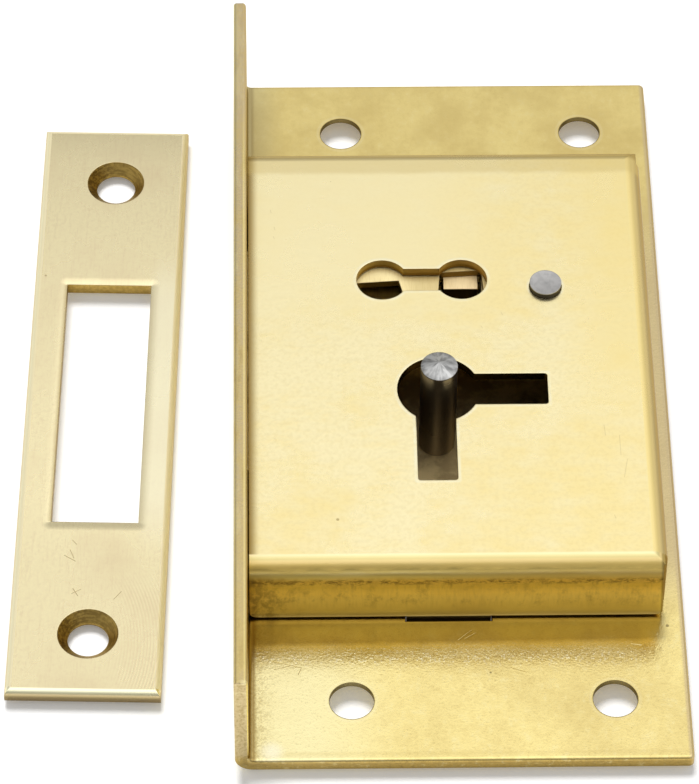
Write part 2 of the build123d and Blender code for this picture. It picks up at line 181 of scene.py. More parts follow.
class Value:
    """One output of a node. Arithmetic on it adds Math nodes."""

    def __init__(self, shop, socket):
        self.shop = shop
        self.socket = socket

    def math(self, operation, *terms):
        return self.shop.node("ShaderNodeMath", {"operation": operation}, dict(enumerate(terms)))

    def __add__(self, other):
        return self.math("ADD", self, other)

    def __radd__(self, other):
        return self.math("ADD", other, self)

    def __sub__(self, other):
        return self.math("SUBTRACT", self, other)

    def __rsub__(self, other):
        return self.math("SUBTRACT", other, self)

    def __mul__(self, other):
        return self.math("MULTIPLY", self, other)

    def __rmul__(self, other):
        return self.math("MULTIPLY", other, self)

    def __pow__(self, other):
        return self.math("POWER", self, other)

    def __gt__(self, other):
        return self.math("GREATER_THAN", self, other)

    def __lt__(self, other):
        return self.math("LESS_THAN", self, other)

    def __abs__(self):
        return self.math("ABSOLUTE", self)

    def sine(self):
        return self.math("SINE", self)

    def least(self, other):
        return self.math("MINIMUM", self, other)

    def most(self, other):
        return self.math("MAXIMUM", self, other)


class Shop:
    """A node tree being filled."""

    def __init__(self, tree):
        self.tree = tree
        tree.nodes.clear()

    def node(self, kind, settings=None, inputs=None, out=0):
        """Adds a node: its settings, then its sockets' values or links. Gives one output."""
        made = self.tree.nodes.new(kind)
        for name, value in (settings or {}).items():
            if name == "stops":
                self.set_stops(made.color_ramp, value)
            else:
                setattr(made, name, value)
        for name, value in (inputs or {}).items():
            socket = made.inputs[name]
            if isinstance(value, Value):
                self.tree.links.new(value.socket, socket)
            else:
                socket.default_value = value
        return Value(self, made.outputs[out]) if made.outputs else made

    def set_stops(self, ramp, stops):
        """Puts (place, colour or grey level) stops on a ramp."""
        while len(ramp.elements) < len(stops):
            ramp.elements.new(0.5)
        for element, (place, level) in zip(ramp.elements, stops):
            element.position = place
            element.color = (*level, 1) if isinstance(level, tuple) else (level, level, level, 1)

    def along(self, value, stops):
        """A colour or level read off at a value, from (value, colour or level) stops that rise."""
        low, high = stops[0][0], stops[-1][0]
        places = [((place - low) / (high - low), level) for place, level in stops]
        share = (value - low) * (1 / (high - low))
        return self.node("ShaderNodeValToRGB", {"stops": places}, {"Fac": share})

    def millimetres(self):
        """Object coordinates in millimetres."""
        at = self.node("ShaderNodeTexCoord", out="Object")
        return self.node("ShaderNodeVectorMath", {"operation": "SCALE"}, {0: at, "Scale": 1000.0})

    def axes(self, vector):
        """The three numbers of a vector."""
        split = self.node("ShaderNodeSeparateXYZ", inputs={0: vector})
        return [Value(self, socket) for socket in split.socket.node.outputs]

    def stretched(self, vector, x, y, z, turn=0.0):
        """Coordinates with their own scale on each axis, turned in the plane of the plate."""
        inputs = {"Vector": vector, "Scale": (x, y, z), "Rotation": (0, 0, turn)}
        return self.node("ShaderNodeMapping", inputs=inputs)

    def seen_from(self, vector, place, turn):
        """Coordinates that start at a place on the plate and are turned with it."""
        inputs = {"Vector": vector, "Location": (*place, 0), "Rotation": (0, 0, turn)}
        return self.node("ShaderNodeMapping", {"vector_type": "TEXTURE"}, inputs)

    def noise(self, vector, scale, detail=3.0, rough=0.55):
        """Fractal noise between about 0.3 and 0.7."""
        inputs = {"Vector": vector, "Scale": scale, "Detail": detail, "Roughness": rough}
        return self.node("ShaderNodeTexNoise", inputs=inputs)

    def between(self, value, low, high):
        """0 at low, 1 at high and smooth between. Low may be the larger of the two."""
        inputs = {"Value": value, "From Min": low, "From Max": high}
        return self.node("ShaderNodeMapRange", {"interpolation_type": "SMOOTHSTEP"}, inputs)

    def band(self, value, middle, half):
        """1 at the middle of a band, falling smoothly to 0 at half its width."""
        return self.between(abs(value - middle), half, 0.0)

    def blend(self, share, first, second):
        """A colour that goes from first to second as share goes from 0 to 1."""
        inputs = {0: share, 6: first, 7: second}
        return self.node("ShaderNodeMix", {"data_type": "RGBA"}, inputs, out=2)

    def bump(self, height, strength, distance_mm, normal):
        """A normal bent by a height map."""
        inputs = {"Height": height, "Strength": strength, "Distance": distance_mm / 1000}
        return self.node("ShaderNodeBump", inputs={**inputs, "Normal": normal})

    def soft_edge(self, radius_mm):
        """A normal that rounds sharp edges by a small radius."""
        return self.node("ShaderNodeBevel", {"samples": 6}, {"Radius": radius_mm / 1000})

    def close_metal(self, colour, rough, normal):
        """The metal shader that ends each finish."""
        varying = {"Base Color": colour, "Roughness": rough, "Normal": normal}
        fixed = {"Metallic": 1.0, "Specular Tint": RIM_TINT}
        shader = self.node("ShaderNodeBsdfPrincipled", inputs={**varying, **fixed})
        self.node("ShaderNodeOutputMaterial", inputs={"Surface": shader})


def new_material(name):
    """An empty node material and the shop that fills it."""
    material = bpy.data.materials.new(name)
    material.use_nodes = True
    return material, Shop(material.node_tree)


def round_gap(x, y, middle, radius):
    """Distance outside a round hole: the distance from its axis, less its radius."""
    return ((x - middle[0]) ** 2 + (y - middle[1]) ** 2) ** 0.5 - radius


def slot_gap(x, y, x0, x1, y0, y1):
    """Distance outside a rectangle: the length of what lies beyond its half sides."""
    beyond_x = (abs(x - (x0 + x1) / 2) - (x1 - x0) / 2).most(0)
    beyond_y = (abs(y - (y0 + y1) / 2) - (y1 - y0) / 2).most(0)
    return (beyond_x ** 2 + beyond_y ** 2) ** 0.5


def line_gap(x, y, x0, y0, x1, y1):
    """Distance from a straight scratch: from the nearest point along it, held between its ends."""
    length = math.hypot(x1 - x0, y1 - y0)
    a, b = (x1 - x0) / length, (y1 - y0) / length
    along = ((x - x0) * a + (y - y0) * b).most(0).least(length)
    return ((x - x0 - along * a) ** 2 + (y - y0 - along * b) ** 2) ** 0.5


def nearest(gaps):
    """The least of several distances."""
    gap = gaps[0]
    for other in gaps[1:]:
        gap = gap.least(other)
    return gap


def cap_hole_gap(x, y):
    """Distance outside the nearest of the cap's holes: keyhole, peephole or rivet."""
    bar_y = PEEPHOLES[0][1]
    bar = (PEEPHOLES[1][0], PEEPHOLES[0][0], bar_y - PEEP_HALF_BAR, bar_y + PEEP_HALF_BAR)
    gaps = [round_gap(x, y, (0, 0), KEYHOLE_R)]
    gaps += [slot_gap(x, y, *slot) for slot in (KEY_SLOT_DOWN, KEY_SLOT_RIGHT, bar)]
    gaps += [round_gap(x, y, middle, PEEP_R) for middle in PEEPHOLES]
    return nearest(gaps + [round_gap(x, y, PIVOT, RIVET_R)])


def scratches(shop, x, y, lines, half):
    """1 in the middle of each scratch of a list, falling to 0 at half its width."""
    return shop.between(nearest([line_gap(x, y, *line) for line in lines]), half, 0.0)


def cells(shop, at, spacing_mm):
    """A loose grid of cells: distance from the nearest middle, in cells, and its random numbers."""
    settings = {"voronoi_dimensions": "3D", "feature": "F1"}
    inputs = {"Vector": at, "Scale": 1 / spacing_mm}
    gap = shop.node("ShaderNodeTexVoronoi", settings, inputs, out="Distance")
    return gap, shop.axes(Value(shop, gap.socket.node.outputs["Color"]))


def specks(shop, at, spacing_mm, radius_mm, share):
    """Lone spots: a share of the cells hold one, of a random size."""
    gap, chance = cells(shop, at, spacing_mm)
    spot = shop.between(gap * spacing_mm - radius_mm * chance[1], 0.06, -0.02)
    return spot * (chance[0] < share)


def glitter(shop, at, spacing_mm):
    """A random level in each cell, and how near its middle is: 1 there and 0 at its edge."""
    gap, chance = cells(shop, at, spacing_mm)
    return chance[0], shop.between(gap, 0.7, 0.25)


def cap_brass():
    """Pale satin sheet, golden with painted light and shade and tarnished on its near wall, dark
    inside with dirt and painted shade, with painted highlights on its hole lips.

    Its near wall rolls in towards its foot: height = 0.3 (FOOT_ROLL - z)^2 below that height.
    """
    material, shop = new_material("cap brass")
    at = shop.millimetres()
    x, y, z = shop.axes(at)
    on_top = z > CAP_TOP - 0.02
    cloud = shop.noise(at, 0.05, 4.0, 0.6)
    blotch = shop.noise(shop.stretched(at, 0.35, 0.7, 1.0), 1.0, 4.0, 0.6)
    grain = shop.noise(at, 1.9, 2.0)
    warm = shop.between(cloud + (blotch - 0.5) * 0.4, 0.36, 0.72)
    tint = shop.blend(warm * 0.75, CAP_BRASS, CAP_WARM)
    tint = shop.blend(shop.between(grain, 0.4, 0.7) * 0.12, tint, PLATE_OLIVE)
    beside_key = shop.between(x, 12.0, 22.0) * shop.between(y, -10.0, 8.0)
    tint = shop.blend(beside_key * 0.6, tint, CAP_WARM)
    round_peepholes = shop.between(x, 16.0, -4.0) * shop.between(y, 5.0, 20.0)
    tint = shop.blend(round_peepholes * 0.75, tint, CAP_BRASS)
    # Painted shade along its left edge, beside the selvedge
    tint = shop.blend(shop.between(x, CAP_LEFT + 1.3, CAP_LEFT) * 0.9, tint, TARNISH_AND_SHADE)
    tint = shop.blend(specks(shop, at, 4.5, 0.22, 0.5) * 0.6, tint, TARNISH_AND_SHADE)
    marks = scratches(shop, x, y, CAP_SCRATCHES, 0.09) * on_top
    tint = shop.blend(marks * 0.2, tint, TARNISH_AND_SHADE)
    # Painted highlights round the rims of its holes
    rim_highlight = shop.band(cap_hole_gap(x, y), 0.18, 0.32) * on_top
    tint = shop.blend(rim_highlight * (0.2 + 0.5 * shop.between(blotch, 0.4, 0.6)), tint, BRIGHT_BRASS)

    # The folds and the outer walls: painted light and shade round the right and far folds, and
    # streaks and smudges on the walls
    streaks = shop.noise(shop.stretched(at, 3.0, 3.0, 0.5), 1.0, 3.0)
    smudges = shop.noise(shop.stretched(at, 0.7, 0.7, 0.5), 1.0, 5.0, 0.7)
    # Painted light and shade round the right fold
    fold = RIGHT_FOLD[0][0]
    tint = shop.blend(shop.between(x, fold - 0.05, fold + 0.15), tint, shop.along(x, RIGHT_FOLD))
    # Painted shade towards the far fold
    far_band = shop.between(y + 0.5 * (blotch - 0.5), CAP_FAR - 4.3, CAP_FAR - 3.4)
    tint = shop.blend(far_band * 0.4, tint, PLATE_OLIVE)
    sides = shop.between(z, CAP_FOLD, CAP_FOLD - 0.6)
    tint = shop.blend(sides * shop.between(streaks, 0.4, 0.7) * 0.3, tint, DARK_BRASS)
    tint = shop.blend(sides * shop.between(smudges, 0.46, 0.7) * 0.5, tint, TARNISH_AND_SHADE)
    # Painted shade on the far fold
    tint = shop.blend(shop.between(y, CAP_FAR - 1.9, CAP_FAR - 1.0) * 0.62, tint, TARNISH_AND_SHADE)

    # The near fold and wall, with painted light and shade, tarnish and flecks, down to the lug in
    # its slot, painted dark as shade
    near = shop.between(y, CAP_NEAR + 1.9, CAP_NEAR + 1.7)
    wall = near * sides
    waver = shop.noise(shop.stretched(at, 0.22, 1.0, 0.3), 1.0, 4.0, 0.6) - 0.5
    waver = waver * shop.between(z, 10.9, 10.2)
    # Painted light and shade round the near fold and down the wall
    gold = shop.along(z + 0.9 * waver, NEAR_FOLD)
    # A painted band of shade across the middle of the fold
    golden = shop.between(x, 0.0, 12.0) * shop.between(z, 10.2, 9.8) * shop.between(z, 8.3, 8.8)
    gold = shop.blend(golden * 0.35, gold, DARK_BRASS)
    upper = wall * shop.between(z, 2.4, 5.0)
    gold = shop.blend(upper * shop.between(streaks, 0.4, 0.7) * 0.2, gold, DARK_BRASS)
    gold = shop.blend(upper * shop.between(smudges, 0.48, 0.72) * 0.4, gold, TARNISH_AND_SHADE)
    left = shop.between(x, CAP_LEFT + 8, CAP_LEFT) * shop.between(smudges, 0.4, 0.6)
    gold = shop.blend(wall * left * 0.6, gold, TARNISH_AND_SHADE)
    flecks = shop.noise(shop.stretched(at, 1.1, 1.0, 2.6), 1.0, 5.0, 0.75)
    flecks = shop.between(flecks, 0.44, 0.60) * shop.band(z, FLECK_LINE, 0.8)
    gold = shop.blend(flecks * 0.75, gold, DEEP_SHADE_AND_TARNISH)
    drips = shop.noise(shop.stretched(at, 0.9, 1.0, 0.25), 1.0, 5.0, 0.75)
    drips = shop.between(drips, 0.54, 0.66) * shop.between(z, 6.0, 8.0) * shop.between(z, 8.6, 8.2)
    gold = shop.blend(drips * 0.6, gold, TARNISH_AND_SHADE)
    seam = shop.between(SEAM_AT - SEAM_LEAN * z - x, 0.35, 0.05) * shop.between(z, 11.03, 10.9)
    gold = shop.blend(seam * 0.6, gold, DEEP_SHADE_AND_TARNISH)
    tint = shop.blend(near, tint, gold)
    # The lug below the wall's foot, painted dark as shade in its slot
    tint = shop.blend(shop.between(z, 1.85, 1.2) * 0.95, tint, DEEP_SHADE_AND_TARNISH)

    # The walls of its holes, with painted shade and mottled tarnish, and its inside, dark with dirt
    # and painted shade
    over_case = (x < CAP_RIGHT - 2.0) * (y > CAP_NEAR + 2.0)
    over_case = over_case * (y < CAP_FAR - 2.0) * (x > CAP_LEFT + 0.1)
    # Painted shade on the walls of its holes, mottled with tarnish
    shaded_wall = shop.blend(shop.between(blotch, 0.45, 0.6) * 0.4, shop.along(z, HOLE_WALL_SHADE), TARNISH_AND_SHADE)
    shaded_wall = shop.blend(shop.between(x, -2.5, -5.0) * 0.35, shaded_wall, DEEP_SHADE_AND_TARNISH)
    shaded_wall = shop.blend(shop.between(y, 12.0, 8.0) * 0.8, shaded_wall, DEEP_SHADE_AND_TARNISH)
    tint = shop.blend(over_case * (z < CAP_TOP - 0.03) * (z > CAP_UNDER), tint, shaded_wall)
    # Its inside: dirt, and painted shade
    within = (x < CAP_RIGHT - CAP_SHEET + 0.05) * (y > CAP_NEAR + CAP_SHEET - 0.05)
    within = within * (y < CAP_FAR - CAP_SHEET + 0.05) * (z < CAP_UNDER + 0.03)
    tint = shop.blend(within, tint, CASE_DIRT_AND_SHADE)

    rough = 0.2 + 0.1 * shop.between(cloud, 0.3, 0.7) + 0.05 * grain + 0.08 * near
    height = grain * 0.4 + blotch * 1.2 + streaks * sides + rim_highlight * 0.3
    foot = near * (FOOT_ROLL - z.most(WALL_FOOT)).most(0) ** 2 * 0.3
    normal = shop.bump(foot, 1.0, 1.0, shop.soft_edge(0.15))
    shop.close_metal(tint, rough, shop.bump(height, 0.2, 0.03, normal))
    return material


def plate_brass():
    """Grainy rolled sheet: pits, olive clouds, a painted shade line in its bend, painted shadow,
    reflection and glints before the cap, and a case floor dark with dirt and painted shade.
    """
    material, shop = new_material("plate brass")
    at = shop.millimetres()
    x, y, z = shop.axes(at)
    cloud = shop.noise(at, 0.07, 5.0, 0.65)
    pits = shop.noise(at, 3.6, 3.0, 0.6)
    dimples = shop.noise(at, 0.8, 3.0, 0.6)
    mottle = shop.noise(shop.stretched(at, 1.1, 0.8, 1.0), 1.0, 5.0, 0.75)
    tint = shop.blend(shop.between(cloud, 0.35, 0.75) * 0.5, PLATE_BRASS, PLATE_OLIVE)
    tint = shop.blend(shop.between(mottle, 0.48, 0.68) * 0.3, tint, PLATE_OLIVE)
    tint = shop.blend(shop.between(mottle, 0.48, 0.32) * 0.3, tint, PALE_BRASS)
    near_left = shop.between(x, -4.0, -16.0) * shop.between(y, -28.0, -33.0)
    tint = shop.blend(near_left * 0.8, tint, PALE_BRASS)
    far = shop.between(y, CAP_FAR - 12.0, CAP_FAR + 0.5)
    patch = shop.between(shop.noise(at, 0.16, 3.0, 0.6), 0.35, 0.65)
    tint = shop.blend(far * (0.35 + 0.4 * patch), tint, PLATE_OLIVE)
    tint = shop.blend(shop.between(pits, 0.56, 0.72) * (0.2 - 0.15 * far), tint, TARNISH_AND_SHADE)
    tint = shop.blend(specks(shop, at, 5.0, 0.3, 0.35) * 0.6, tint, DEEP_SHADE_AND_TARNISH)
    right = shop.between(x, CAP_RIGHT - 0.2, CAP_RIGHT + 0.3)
    right = right * shop.between(y, -27.0, -15.0) * shop.between(y, 42.0, 22.0)
    tint = shop.blend(right * 0.8, tint, EDGE_TAN)
    # Painted shade along its rounded right edge
    tint = shop.blend(shop.between(x, PLATE_RIGHT - 0.75, PLATE_RIGHT - 0.35) * 0.8, tint, EDGE_TAN)
    tint = shop.blend(shop.between(x, PLATE_RIGHT - 0.4, PLATE_RIGHT - 0.1) * 0.5, tint, TARNISH_AND_SHADE)

    # Before the cap: painted shadow at its wall, a strip with a painted reflection of the wall and
    # painted glints, and the lug's slot painted dark as shade
    before = CAP_NEAR - y
    level, dot = glitter(shop, shop.stretched(at, 1.0, 0.8, 1.0), 0.25)
    ahead = (x > CAP_LEFT) * shop.between(x, CAP_RIGHT + 0.8, CAP_RIGHT - 1.0)
    ahead = ahead * (z > PLATE_TOP - 0.05)
    sparkle = ahead * shop.band(before, 5.1, 2.4)
    mirrored = shop.between(x, CAP_RIGHT - 1.0, CAP_RIGHT - 4.0)
    # A painted reflection of the wall, with painted glints, bright and dark
    tint = shop.blend(ahead * mirrored * shop.band(before, 4.5, 1.6) * 0.9, tint, PALE_BRASS)
    bright = sparkle * mirrored * shop.between(level, 0.5, 0.75) * dot
    tint = shop.blend(bright * 0.85, tint, BRIGHT_BRASS)
    tint = shop.blend(sparkle * shop.between(level, 0.42, 0.2) * dot * 0.28, tint, TARNISH_AND_SHADE)
    # Painted shadow before the wall's foot
    under_wall = ahead * (before > -0.4) * (before < FOOT_SHADE[-1][0])
    ragged = before + 0.01 * x + 0.5 * (dimples - 0.5)
    tint = shop.blend(under_wall * shop.along(ragged, FOOT_SHADE), tint, DEEP_SHADE_AND_TARNISH)
    # The lug's slot, painted dark as shade
    slot = (before > -1.4) * (before < 0.58) * (abs(x - LUG_X) < LUG_SLOT_HALF)
    tint = shop.blend(slot * (z < PLATE_TOP + 0.01), tint, DEEP_SHADE_AND_TARNISH)

    # The bend, with painted shade in its crease, and the selvedge's edge, with painted light and
    # shade across it
    inner = (x > SELVEDGE_IN - 0.03) * (y > PLATE_NEAR + 0.03)
    # Painted shade in the crease of the bend
    corner = shop.between(x, SELVEDGE_IN + 1.0, SELVEDGE_IN + 0.5) * shop.between(z, 2.8, 2.0)
    tint = shop.blend(inner * corner * 0.85, tint, TARNISH_AND_SHADE)
    margin = shop.between(x, SELVEDGE_IN + 4.0, SELVEDGE_IN) * shop.between(pits, 0.4, 0.6)
    tint = shop.blend(inner * margin * (0.38 - 0.3 * far), tint, TARNISH_AND_SHADE)
    # Painted grey shade on the far flange beside the selvedge
    far_margin = far * shop.between(x, SELVEDGE_IN + 5.0, SELVEDGE_IN + 0.5)
    tint = shop.blend(inner * far_margin * 0.5, tint, EDGE_GREY)
    # The selvedge's top edge: painted shade on its outer side, and its own streaks
    edge = shop.between(z, SELVEDGE_TOP - 0.6, SELVEDGE_TOP - 0.35)
    across = shop.between(x, SELVEDGE_OUT + 0.05, SELVEDGE_OUT + 0.6)
    rolled = shop.blend(across, EDGE_GREY, EDGE_TAN)
    rolled = shop.blend(shop.between(pits, 0.42, 0.62) * 0.35, rolled, PLATE_OLIVE)
    lengths = shop.noise(shop.stretched(at, 0.5, 0.11, 1.0), 1.0, 4.0, 0.65)
    rolled = shop.blend(shop.between(lengths, 0.46, 0.62) * 0.55, rolled, PLATE_OLIVE)
    rolled = shop.blend(shop.between(lengths, 0.46, 0.34) * 0.15, rolled, PALE_BRASS)
    rolled = shop.blend(shop.between(lengths, 0.55, 0.68) * 0.3, rolled, TARNISH_AND_SHADE)
    # A painted highlight on its rounded inner edge
    inner_edge_highlight = shop.band(x, SELVEDGE_IN - 0.3, 0.2) * shop.between(y, 45.0, 25.0)
    rolled = shop.blend(inner_edge_highlight * 0.7, rolled, PLATE_BRASS)
    # Painted shade at the arris beside it
    arris = shop.between(x, SELVEDGE_IN - 0.2, SELVEDGE_IN - 0.05)
    rolled = shop.blend(arris * 0.4, rolled, TARNISH_AND_SHADE)
    rolled = shop.blend(shop.between(y, -8.0, -34.0) * 0.4, rolled, PLATE_OLIVE)
    tint = shop.blend(edge, tint, rolled)

    # The sheared near edge, a dark raw cut with painted shade across it, and the selvedge's end
    # over it, with a painted highlight
    tint = shop.blend(shop.band(y, PLATE_NEAR + 0.95, 0.5) * inner * 0.25, tint, PLATE_OLIVE)
    glint = shop.between(round_gap(x, y, GLINT_AT, 0.0), 1.9, 0.2)
    tint = shop.blend(glint * inner * 0.8, tint, BRIGHT_BRASS)
    sheared = shop.between(y, PLATE_NEAR + 0.2, PLATE_NEAR + 0.02)
    raised = shop.between(z, PLATE_TOP + 0.2, PLATE_TOP + 1.5)
    raw = shop.blend(raised * 0.8, DARK_BRASS, EDGE_TAN)
    raw = shop.blend(shop.between(pits, 0.46, 0.62) * 0.55, raw, TARNISH_AND_SHADE)
    # Painted shade across the middle of the raw face
    raw = shop.blend(shop.band(z, 0.95, 0.5) * 0.4, raw, TARNISH_AND_SHADE)
    raw = shop.blend(shop.between(mottle, 0.46, 0.34) * 0.3, raw, PALE_BRASS)
    tint = shop.blend(sheared * 0.9, tint, raw)
    # A painted highlight at the top of the selvedge's near end
    tip = shop.between(y, PLATE_NEAR + 0.6, PLATE_NEAR + 0.3) * (z > SELVEDGE_TOP - 0.4)
    tip = tip * shop.between(x, SELVEDGE_OUT + 0.4, SELVEDGE_IN - 0.3)
    tint = shop.blend(tip * 0.45, tint, PALE_BRASS)

    # The screw holes, with painted highlights on their rims and painted shade on their walls, the
    # floor of the case, dark with dirt and painted shade, and the scratches
    screws = nearest([round_gap(x, y, (a, b), SCREW_R) for a in SCREW_X for b in SCREW_Y])
    # Painted highlights round the screw holes, and painted shade on their walls
    screw_rim_highlight = shop.band(screws, 0.3, 0.3) * (z > PLATE_TOP - 0.02)
    tint = shop.blend(screw_rim_highlight * 0.12, tint, BRIGHT_BRASS)
    tint = shop.blend(shop.between(screws, 0.1, 0.0) * 0.8, tint, DEEP_SHADE_AND_TARNISH)
    # The floor of the case: dirt, and painted shade
    in_case = (x > SELVEDGE_IN) * (y > CAP_NEAR + 0.6) * (y < CAP_FAR - 0.6) * (z < CAP_UNDER)
    in_case = in_case * shop.between(x, CAP_RIGHT - 0.3, CAP_RIGHT - 1.0)
    dirt = shop.between(shop.noise(at, 0.35, 4.0, 0.6), 0.40, 0.60)
    tint = shop.blend(in_case, tint, shop.blend(dirt * 0.6, CASE_FLOOR, CASE_DIRT_AND_SHADE))
    marks = scratches(shop, x, y, PLATE_SCRATCHES, 0.06)
    tint = shop.blend(marks * 0.5, tint, TARNISH_AND_SHADE)

    rough = 0.17 + 0.1 * shop.between(cloud, 0.3, 0.7) + 0.25 * in_case + 0.1 * far
    height = (pits + dimples * 0.3) * (0.5 - 0.25 * far)
    height = height + level * dot * sparkle * 0.14 - marks * 0.5
    shop.close_metal(tint, rough, shop.bump(height, 0.6, 0.06, shop.soft_edge(0.15)))
    return material


def strike_brass():
    """Pale flat-milled bar: faint stains, cutter arcs at its near corner and brown countersinks.

    Its bolt hole is punched, so the face dips to it: height = -0.15 (1.2 - gap)^2 within 1.2 mm.
    """
    material, shop = new_material("strike brass")
    at = shop.seen_from(shop.millimetres(), STRIKE_AT, math.radians(STRIKE_TURN_DEG))
    u, w, z = shop.axes(at)
    cloud = shop.noise(at, 0.08, 4.0, 0.6)
    fine = shop.noise(at, 2.2, 4.0, 0.7)
    grain = shop.noise(shop.stretched(at, 5.0, 0.5, 1.0), 1.0, 3.0)
    tint = shop.blend(shop.between(cloud, 0.45, 0.75) * 0.5, STRIKE_BRASS, STRIKE_STAIN)
    tint = shop.blend(shop.between(fine, 0.45, 0.72) * 0.28, tint, STRIKE_STAIN)
    tint = shop.blend(shop.between(grain, 0.5, 0.7) * 0.25, tint, STRIKE_STAIN)
    tint = shop.blend(specks(shop, at, 4.0, 0.25, 0.4) * 0.5, tint, TARNISH_AND_SHADE)
    # Painted shade, darkest towards its far end
    tint = shop.blend(shop.along(w, STRIKE_SHADE), tint, DEEP_SHADE_AND_TARNISH)
    turns = round_gap(u, w, CUTTER_AT, 0.0) * (2 * math.pi / CUTTER_PITCH)
    arcs = turns.sine() * shop.between(u, 0.5, 6.0) * shop.between(w, -24.0, -30.0)
    tint = shop.blend(shop.between(arcs, 0.2, 1.0) * 0.5, tint, STRIKE_STAIN)

    # The countersinks, the bolt hole and the edges
    sunk = nearest([round_gap(u, w, middle, SINK_R) for middle in STRIKE_SINKS])
    bowl = shop.between(sunk, 0.06, 0.0) * (z < STRIKE_TOP - 0.01)
    rings = shop.noise(shop.stretched(at, 0.6, 0.6, 8.0), 1.0, 3.0)
    turned = shop.between(rings + 0.6 * (fine - 0.5), 0.38, 0.62)
    tint = shop.blend(bowl, tint, shop.blend(turned, DARK_BRASS, TARNISH_AND_SHADE))
    shaded = shop.between(u, 1.6, -2.6) * (0.3 + 0.4 * shop.between(fine, 0.4, 0.6))
    tint = shop.blend(bowl * shaded, tint, DEEP_SHADE_AND_TARNISH)
    hole = slot_gap(u, w, *BOLT_HOLE)
    cut = (hole < 0.02) * (z < STRIKE_TOP - 0.02)
    # The walls of the bolt hole: sawn brass, darkened as painted shade
    sawn_and_shaded = shop.blend(shop.between(fine, 0.4, 0.6) * 0.6, DARK_BRASS, TARNISH_AND_SHADE)
    tint = shop.blend(cut, tint, sawn_and_shaded)
    # Lighter towards the right edge, along the middle of the bar
    lighter_strip = shop.between(u, 4.6, 6.6) * shop.between(abs(w), 24.0, 14.0)
    tint = shop.blend(lighter_strip * 0.6, tint, BRIGHT_BRASS)
    # Painted shade along the bolt hole's left rim
    left = shop.between(u, -5.35, -4.85) * (u < -4.0) * (abs(w + 0.5) < 17.8)
    tint = shop.blend(left * 0.4, tint, TARNISH_AND_SHADE)
    # Painted highlight and shade over its rounded edges
    side = shop.between(abs(u), STRIKE_SIDE_EDGE - 0.05, STRIKE_SIDE_EDGE + 0.05)
    side = side.most(w > STRIKE_END_EDGE)
    tint = shop.blend(side, tint, shop.along(z, STRIKE_SIDE))
    near_end = shop.between(w, 0.08 - STRIKE_END_EDGE, -0.02 - STRIKE_END_EDGE)
    tint = shop.blend(near_end, tint, shop.along(z, STRIKE_END))
    marks = scratches(shop, u, w, STRIKE_SCRATCHES, 0.07)
    tint = shop.blend(marks * 0.7, tint, TARNISH_AND_SHADE)

    rough = 0.24 + 0.08 * shop.between(cloud, 0.3, 0.7) + 0.1 * bowl
    rough = rough + 0.35 * side * (w > 0.2 - STRIKE_END_EDGE)
    dip = (1.2 - hole).most(0) ** 2 * -0.15
    normal = shop.bump(dip, 1.0, 1.0, shop.soft_edge(0.12))
    normal = shop.bump(grain * 0.5 + fine * 0.35 + arcs * 0.3 - marks, 0.3, 0.05, normal)
    shop.close_metal(tint, rough, normal)
    return material


def stamped_brass(name, base_colour, turn, stain, lean, side_top=None, side=DEEP_SHADE_AND_TARNISH, left=None):
    """Stamped brass inside the case: drawn grain along one direction and cloudy stains.

    The faces lean towards the key by a slope. Below side_top the brass takes the side colour,
    painted shade on its sides. Where a left colour is given, the face is painted in shade and turns
    to the left colour, painted light, near the selvedge.
    """
    material, shop = new_material(name)
    at = shop.millimetres()
    x, y, z = shop.axes(at)
    grain = shop.noise(shop.stretched(at, 7.0, 0.7, 1.0, turn), 1.0, 3.0)
    cloud = shop.noise(at, 0.25, 4.0, 0.6)
    if left:
        base_colour = shop.blend(shop.between(x, -1.5, -4.5), base_colour, left)
    tint = shop.blend(shop.between(grain, 0.45, 0.7) * 0.15, base_colour, DARK_BRASS)
    tint = shop.blend(shop.between(cloud, 0.45, 0.7) * stain, tint, TARNISH_AND_SHADE)
    if side_top:
        tint = shop.blend(shop.between(z, side_top, side_top - 0.06), tint, side)
    normal = shop.bump(y * lean, 1.0, 1.0, shop.soft_edge(0.1))
    normal = shop.bump(grain, 0.2, 0.03, normal)
    shop.close_metal(tint, 0.38 + 0.2 * cloud, normal)
    return material


def pin_steel():
    """Turned steel: a bright point with radial tool marks, their glints painted as light and shade,
    on a dark, faintly ringed shank.
    """
    material, shop = new_material("pin steel")
    at = shop.millimetres()
    x, y, z = shop.axes(at)
    around = x.math("ARCTAN2", x, y)
    unrolled = shop.node("ShaderNodeCombineXYZ", inputs={0: around * 2.2, 1: z * 1.5})
    spokes = shop.noise(unrolled, 1.0, 3.0)
    rings = shop.noise(shop.stretched(at, 0.3, 0.3, 6.0), 1.0, 2.0)
    point = shop.between(z, PIN_SHOULDER - 0.15, PIN_SHOULDER)
    # Radial streaks of painted light and shade on the point, for the glints of its tool marks
    tip = shop.blend(shop.between(spokes, 0.36, 0.66) * 0.9, TIP_STEEL, TIP_SHADE)
    tint = shop.blend(point, SHANK_STEEL, tip)
    normal = shop.bump(spokes * point * 2.0 + rings * 0.4, 0.4, 0.05, shop.soft_edge(0.1))
    shop.close_metal(tint, 0.24 + 0.12 * rings, normal)
    return material


def rivet_steel():
    """Plain dull steel, with painted shade on its side under its dished end."""
    material, shop = new_material("rivet steel")
    at = shop.millimetres()
    z = shop.axes(at)[2]
    dull = shop.noise(at, 1.6, 3.0)
    face = shop.between(z, RIVET_TOP - 0.16, RIVET_TOP - 0.1)
    tint = shop.blend(shop.between(dull, 0.42, 0.62) * 0.2, RIVET_STEEL, TIP_SHADE)
    # Painted shade on its side below its face
    tint = shop.blend(face, SHADED_STEEL, tint)
    normal = shop.bump(dull, 0.15, 0.03, shop.soft_edge(0.12))
    shop.close_metal(tint, 0.36 + 0.1 * dull, normal)
    return material


